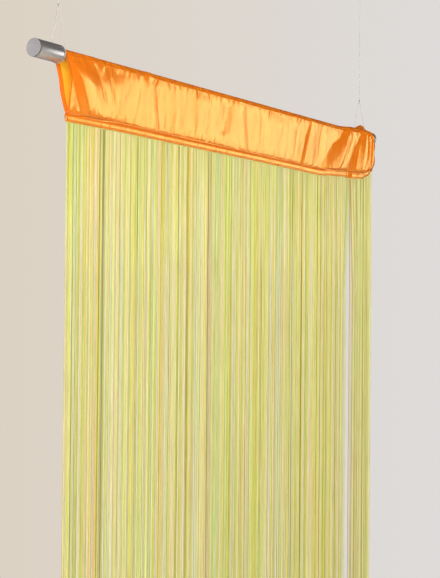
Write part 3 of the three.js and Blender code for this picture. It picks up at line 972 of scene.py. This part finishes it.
# %% Rows and columns of the cloth
COLUMNS = 500
CLOSE_ROWS = {"over_seam": 8, "under_rod": 12}
ROW_BANDS = table("to rows",
    (CLOTH["hem"], 9),
    (CLOTH["hem"] + CLOSE_ROWS["over_seam"], 8),
    (CURTAIN["below_rod"] - CLOSE_ROWS["under_rod"], 23),
    (CURTAIN["below_rod"], 8),
    (CURTAIN["below_rod"] + CLOTH["around_rod"], 18),
    (CLOTH_DEPTH - CLOTH["hem"], 17),
    (CLOTH_DEPTH, 6),
)
ROWS = sum(band["rows"] for band in ROW_BANDS)


def across_at(row):
    """The distance across the flat cloth at a row of the grid."""
    start = 0
    for band in ROW_BANDS:
        if row <= band["rows"]:
            return lerp(start, band["to"], row / band["rows"])
        row -= band["rows"]
        start = band["to"]
    return start


# %% Hang the cloth
def hung_grid(columns, rows, map_name, across_of, place):
    """A grid moved from its flat place, which its UV map keeps, to where it hangs."""
    bm = bmesh.new()
    bmesh.ops.create_grid(bm, x_segments=columns, y_segments=rows, size=0.5)
    flat_map = bm.loops.layers.uv.new(map_name)
    flat_places = {}
    for vertex in bm.verts:
        flat_places[vertex] = ((vertex.co.x + 0.5) * CURTAIN["width"], across_of(vertex.co.y + 0.5))
    for face in bm.faces:
        for loop in face.loops:
            loop[flat_map].uv = [distance * MM for distance in flat_places[loop.vert]]
    for vertex, (at, across) in flat_places.items():
        vertex.co = place(at, across)
    return bm


bm = hung_grid(COLUMNS, ROWS, "flat_cloth", lambda share: across_at(share * ROWS), cloth_place)
print("The cloth's grid has", COLUMNS, "columns and", ROWS, "rows")

# %% [markdown]
# The right-hand line comes up through the gathered cloth, between its threads. A small slit is opened
# round each leg of the loop, as in the CAD.

# %% Slits for the line
SLIT = {"radius": 1.1, "lowest": 2}


def near_a_leg(point):
    if abs(point.x - LINE["half_spacing"]) > SLIT["radius"] or point.z < AXIS_Z + SLIT["lowest"]:
        return False
    leg_y = (LINE["knot_height"] - (point.z - AXIS_Z)) * math.tan(LOOP_SLOPE)
    return abs(abs(point.y) - leg_y) < SLIT["radius"]


slits = [face for face in bm.faces if near_a_leg(face.calc_center_median())]
bmesh.ops.delete(bm, geom=slits, context="FACES")
bmesh.ops.recalc_face_normals(bm, faces=bm.faces)
heading = make_piece(bm, "satin_heading", orange_satin)
heading.data.materials.append(satin_reverse_painted_glow)
print("Faces opened round the line:", len(slits))

# %% Turn the cloth's face outwards and thicken it
def thicken(piece, thickness):
    modifier = piece.modifiers.new("cloth thickness", "SOLIDIFY")
    modifier.thickness = thickness * MM
    modifier.offset = 0
    return modifier


front_face = heading.data.polygons[len(heading.data.polygons) // 4]
if front_face.normal.y * front_face.center.y < 0:
    heading.data.flip_normals()
thicken(heading, CLOTH["thickness"]).material_offset = 1
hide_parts("heading")

# %% [markdown]
# ## Stitches
# Two rows of straight stitches close the hem, one near its edge and one at its top. Each stitch is a
# short, slightly sunken bead of thread, laid along the cloth. One small bead is made, then copied
# and turned for every stitch.

# %% Finish: sewing thread
sewing_thread, tree, shader = new_material("sewing_thread", {"Sheen Weight": 0.2})
where = object_coordinates(tree)
tone = uneven(tree, where, linear(180, 72, 8), linear(144, 52, 6), scale=300, amount=0.8)
twist = add_node(tree, "ShaderNodeTexWave", {"Vector": where, "Scale": 900, "Distortion": 1.5},
                 bands_direction="DIAGONAL").outputs["Fac"]
dress(tree, shader, tone["Colour"], map_range(tree, tone["Mask"], 0.55, 0.75),
      bump(tree, twist, strength=0.3, distance=0.0002))

# %% One stitch
STITCH = {"pitch": 3.2, "length": 2.5, "width": 0.7, "height": 0.4, "proud": 0.05}
bm = bmesh.new()
bmesh.ops.create_uvsphere(bm, u_segments=6, v_segments=4, radius=0.5)
bmesh.ops.scale(bm, vec=(STITCH["length"], STITCH["width"], STITCH["height"]), verts=bm.verts)
one_stitch = make_mesh(bm, "one_stitch")


# %% Sew the rows
def stitch_turn(at, across, side):
    """The place of a stitch on the cloth, with X along the row and Z out of the cloth."""
    place = cloth_place(at, across)
    along = (cloth_place(at + 1, across) - place).normalized()
    outwards = Vector((0, side, 0))
    out = (outwards - along * along.dot(outwards)).normalized()
    turn = Matrix((along, out.cross(along), out)).transposed().to_4x4()
    return Matrix.Translation(place + out * (CLOTH["thickness"] / 2 + STITCH["proud"])) @ turn


bm = bmesh.new()
for from_edge in STITCH_ROWS.values():
    for side, across in ((-1, from_edge), (1, CLOTH_DEPTH - from_edge)):
        for number in range(int(CURTAIN["width"] / STITCH["pitch"])):
            before = len(bm.verts)
            bm.from_mesh(one_stitch)
            bm.verts.ensure_lookup_table()
            place = stitch_turn((number + 0.5) * STITCH["pitch"], across, side)
            bmesh.ops.transform(bm, matrix=place, verts=bm.verts[before:])
stitching = make_piece(bm, "hem_stitching", sewing_thread)
bpy.data.meshes.remove(one_stitch)

# %% [markdown]
# ## Tape
# The strings are held by a narrow woven tape that the hem hides, apart from its lowest millimetre. It is
# a grid as well, with a thickness of its own.

# %% Finish: tape
woven_tape, tree, shader = new_material("woven_tape", {"Sheen Weight": 0.2})
flat_tape = add_node(tree, "ShaderNodeUVMap", uv_map="flat_tape").outputs["UV"]
tone = uneven(tree, flat_tape, linear(214, 196, 92), linear(176, 160, 70), scale=90, amount=0.8)
threads = woven(tree, flat_tape, warp_count=900, weft_count=900, weft_share=1)
dress(tree, shader, tone["Colour"], map_range(tree, tone["Mask"], 0.75, 0.9),
      bump(tree, threads, strength=0.5, distance=0.0003))


# %% Tape in the hem
def tape_place(at, up):
    y, z = hem_edge(at)
    return Vector((CURTAIN["left"] + at, y, z + (up - TAPE["below_hem"])))


TAPE_HEIGHT = TAPE["inside_hem"] + TAPE["below_hem"]
TAPE_GRID = {"columns": 320, "rows": 3}
bm = hung_grid(*TAPE_GRID.values(), "flat_tape", lambda share: share * TAPE_HEIGHT, tape_place)
bmesh.ops.recalc_face_normals(bm, faces=bm.faces)
tape = make_piece(bm, "string_tape", woven_tape)
thicken(tape, TAPE["thickness"])

# %% [markdown]
# ## Strings
# A thousand strings hang side by side, in runs of a few of the same colour: limes, yellows, creams and
# mints, with a darker olive here and there, which is painted shade for the shadowed gaps between them. So
# many need a plain shape: one four-sided string is made and cut into short lengths, and each copy is then
# bent to its own line. The colour is an attribute of the mesh, so one material does for all of them. A
# slow drift makes whole stretches of the curtain a little warmer or greener.

# %% Finish: yarn
string_yarn, tree, shader = new_material("string_yarn", {"Sheen Weight": 0.15, "Specular IOR Level": 0.3})
dye = add_node(tree, "ShaderNodeAttribute", attribute_name="yarn_colour").outputs["Color"]
where = object_coordinates(tree)
drawn_out, drifting = (
    add_node(tree, "ShaderNodeMapping", {"Vector": where, "Scale": (1, 1, share)}).outputs["Vector"]
    for share in (0.04, 0.12)
)
drift = uneven(tree, drifting, linear(255, 246, 246), linear(247, 253, 236), scale=30, amount=1)
dye = mix_colours(tree, 1, dye, drift["Colour"], "MULTIPLY")
darker = mix_colours(tree, 1, dye, linear(214, 212, 176), "MULTIPLY")
tone = uneven(tree, drawn_out, dye, darker, scale=420, amount=0.6)
ply = add_node(tree, "ShaderNodeTexWave", {"Vector": where, "Scale": 260, "Distortion": 2, "Detail": 2},
               bands_direction="DIAGONAL").outputs["Fac"]
dress(tree, shader, tone["Colour"], map_range(tree, tone["Mask"], 0.72, 0.88),
      bump(tree, ply, strength=0.15, distance=0.0003))

# %% Dye lots
# The darkest olive lot, (143, 141, 77), is painted shade: it stands for the shade in the gaps between
# strings, where deeper ones are seen.
YARNS = table("colour share",
    ((184, 188, 106), 6), ((202, 197, 113), 7), ((212, 206, 150), 7), ((211, 201, 170), 4),
    ((205, 189, 147), 4), ((180, 195, 148), 4), ((171, 178, 90), 4), ((143, 141, 77), 3),
    ((208, 178, 84), 1),
)
STRINGS = {"count": 1000, "radius": 0.56, "sides": 4, "lengths": 14, "closer_above": 1.6, "margin": 2.5,
           "in_tape": 0.6}
RUN_LENGTHS = [1, 1, 1, 2, 2, 3]
string_draw = random.Random(21)


def dye_runs():
    """One colour for each string, in runs of neighbours from the same dye lot."""
    colours = []
    lots = [yarn["colour"] for yarn in YARNS]
    shares = [yarn["share"] for yarn in YARNS]
    while len(colours) < STRINGS["count"]:
        run = string_draw.choice(RUN_LENGTHS)
        colours += [linear(*string_draw.choices(lots, shares)[0])] * run
    return colours[:STRINGS["count"]]


string_colours = dye_runs()
print("Strings:", len(string_colours))

# %% One straight string, one unit high
bm = bmesh.new()
bmesh.ops.create_cone(bm, cap_ends=True, segments=STRINGS["sides"], radius1=STRINGS["radius"],
                      radius2=STRINGS["radius"], depth=1)
bmesh.ops.translate(bm, verts=bm.verts, vec=(0, 0, 0.5))
for cut in range(1, STRINGS["lengths"]):
    height = 1 - (1 - cut / STRINGS["lengths"]) ** STRINGS["closer_above"]
    bmesh.ops.bisect_plane(bm, geom=bm.verts[:] + bm.edges[:] + bm.faces[:], plane_co=(0, 0, 1 - height),
                           plane_no=(0, 0, 1))
one_string = make_mesh(bm, "one_string")

# %% [markdown]
# Strings are never quite true. Neighbours drift together, each stands a little before or behind the
# next, and near the right end a handful has been parted, so there is a gap between them.

# %% Where a string hangs
PARTED = {"at": 902, "half_width": 34, "crowding": 0.36}


def parted(at):
    """Strings close to the parting move towards its two sides."""
    off = at - PARTED["at"]
    share = abs(off) / PARTED["half_width"]
    if share >= 1:
        return at
    return PARTED["at"] + math.copysign(PARTED["half_width"] * share ** PARTED["crowding"], off)


def string_places():
    """For each string: where it leaves the tape, how far it stands out, and its own waver."""
    span = CURTAIN["width"] - 2 * STRINGS["margin"]
    places = []
    for number in range(STRINGS["count"]):
        at = STRINGS["margin"] + span * number / (STRINGS["count"] - 1) + string_draw.uniform(-0.3, 0.3)
        places.append({
            "at": at,
            "out": string_draw.uniform(-1.7, 1.7),
            "waver": string_draw.uniform(0, math.tau),
            "lean": string_draw.gauss(0, 1.1),
            "end": string_draw.uniform(0, 5),
        })
    return places


DRIFT = {"broad": 2.6, "broad_strings": 25, "narrow": 1.1, "narrow_strings": 9.7, "own": 0.5, "own_out": 0.9}
TURNS = {"narrow": 4, "own": 7, "own_out": 3}
FULLY = {"parted": 0.03, "out": 0.02}


def string_offset(number, place, fall):
    """Drift along and out of the curtain at a share of the fall, from 0 at the tape to 1 at the end."""
    broad = DRIFT["broad"] * math.sin(number / DRIFT["broad_strings"])
    narrow = DRIFT["narrow"] * math.sin(number / DRIFT["narrow_strings"] + TURNS["narrow"] * fall)
    alone = place["lean"] + DRIFT["own"] * math.sin(place["waver"] + TURNS["own"] * fall)
    apart = (parted(place["at"]) - place["at"]) * smoothstep(fall, 0, FULLY["parted"])
    own_out = DRIFT["own_out"] * fall * math.sin(place["waver"] + TURNS["own_out"] * fall)
    return fall * (broad + narrow + alone) + apart, place["out"] * smoothstep(fall, 0, FULLY["out"]) + own_out


# %% Hang the strings
bm = bmesh.new()
yarn_layer = bm.verts.layers.float_color.new("yarn_colour")
for number in range(STRINGS["count"]):
    bm.from_mesh(one_string)
corners_each = len(one_string.vertices)
places = string_places()
for index, vertex in enumerate(bm.verts):
    number = index // corners_each
    place = places[number]
    hem_y, hem_z = hem_edge(place["at"])
    fall = 1 - vertex.co.z
    x, y = string_offset(number, place, fall)
    z = lerp(hem_z - TAPE["below_hem"] + STRINGS["in_tape"], STRING_END_Z + place["end"], fall)
    vertex.co = (CURTAIN["left"] + place["at"] + x + vertex.co.x, hem_y + y + vertex.co.y, z)
    vertex[yarn_layer] = string_colours[number]
strings = make_piece(bm, "hanging_strings", string_yarn)
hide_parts("string_fringe")
bpy.data.meshes.remove(one_string)

# %% [markdown]
# ## Light and surroundings
# The photograph has soft daylight. Satin and steel show what they mirror, so a large softbox far at the
# right is visible in them: it gives the satin its broad sheen and the finial its bright band. One
# behind is mirrored too, and the other softboxes only give light. The surroundings look pale, but are
# dim in mirrored and refracted rays, except low down and at the left. The light that they give on all
# sides is weaker from above, so that the cloth's turn over the rod stays a deep orange.

# %% Floor
FLOOR = {"half_size": 4000, "below_strings": 8}
floor_paint, tree, shader = new_material("floor_paint", {"Specular IOR Level": 0.3, "Roughness": 0.85})
tone = uneven(tree, object_coordinates(tree), linear(200, 194, 186), linear(194, 188, 179),
              scale=1.5, amount=0.4)
tree.links.new(tone["Colour"], shader.inputs["Base Color"])
bm = bmesh.new()
bmesh.ops.create_grid(bm, x_segments=1, y_segments=1, size=FLOOR["half_size"] * MM)
bmesh.ops.translate(bm, verts=bm.verts, vec=(0, 0, (STRING_END_Z - FLOOR["below_strings"]) * MM))
floor = place_object("floor", make_mesh(bm, "floor"))
floor.data.materials.append(floor_paint)

# %% Surroundings
world = bpy.data.worlds.new("pale_room")
world.use_nodes = True
bpy.context.scene.world = world
tree = world.node_tree
tree.nodes.clear()
direction = add_node(tree, "ShaderNodeTexCoord").outputs["Generated"]
ACROSS_VIEW = (0.51, -0.86, 0)
across_view = add_node(tree, "ShaderNodeVectorMath", {0: direction, 1: ACROSS_VIEW}, operation="DOT_PRODUCT")
# The wall that the camera sees carries painted shade: it is warmer and a little darker at the left, and paler
# and more neutral at the right.
wall_shade_fading_right = map_range(tree, across_view.outputs["Value"], 0, 1, start=-0.14, end=0.14)
seen_colour = mix_colours(tree, wall_shade_fading_right, linear(220, 210, 196), linear(222, 219, 217))
seen = add_node(tree, "ShaderNodeBackground", {"Color": seen_colour, "Strength": 1})

axes = add_node(tree, "ShaderNodeSeparateXYZ", {"Vector": direction}).outputs
below = map_range(tree, axes["Z"], 0.3, 0.04, start=-0.4, end=-0.2)
at_the_left = map_range(tree, axes["X"], 0.5, 0.04, start=-0.7, end=-0.3)
mirrored = math_node(tree, "MAXIMUM", below, at_the_left)
FILL = {"level": 0.58, "above": 0.26}
fill = map_range(tree, axes["Z"], FILL["level"], FILL["above"], start=0, end=0.5)
rays = add_node(tree, "ShaderNodeLightPath").outputs
is_mirrored = math_node(tree, "MAXIMUM", rays["Is Glossy Ray"], rays["Is Transmission Ray"])
strength = add_node(tree, "ShaderNodeMix", {0: is_mirrored, 2: fill, 3: mirrored}, data_type="FLOAT")
lighting = add_node(tree, "ShaderNodeBackground", {
    "Color": (1.0, 0.97, 0.93, 1), "Strength": strength.outputs[0],
})
both = add_node(tree, "ShaderNodeMixShader", {
    0: rays["Is Camera Ray"], 1: lighting.outputs[0], 2: seen.outputs[0],
})
add_node(tree, "ShaderNodeOutputWorld", {"Surface": both.outputs[0]})


# %% Softboxes
DAYLIGHT = (1.0, 0.98, 0.95)


def softbox(name, place, towards, size, energy, mirrored=False):
    data = bpy.data.lights.new(name, "AREA")
    data.shape = "RECTANGLE"
    data.size, data.size_y = size
    data.energy = energy
    data.color = DAYLIGHT
    light = place_object(name, data)
    aim = (Vector(towards) - Vector(place)).to_track_quat("-Z", "Y")
    light.matrix_world = Matrix.Translation(place) @ aim.to_matrix().to_4x4()
    light.visible_glossy = mirrored


softbox("right_softbox", (10.34, -6.09, -0.73), (0, 0, -0.33), (4.5, 5), 210, mirrored=True)
softbox("front_softbox", (-0.2, -3.4, 0.4), (0, 0, -0.7), (2.6, 2.0), 92)
softbox("end_softbox", (-3.0, -2.1, 0.1), (-0.4, 0, -0.4), (1.2, 1.2), 120)
softbox("left_rear_softbox", (-1.1, 1.5, 0.5), (-0.45, 0, -0.3), (0.9, 0.9), 24)
softbox("rear_softbox", (0.7, 3.3, 0.1), (0, 0, -0.9), (2.4, 2.4), 80, mirrored=True)
bpy.context.scene.view_settings.view_transform = "Standard"
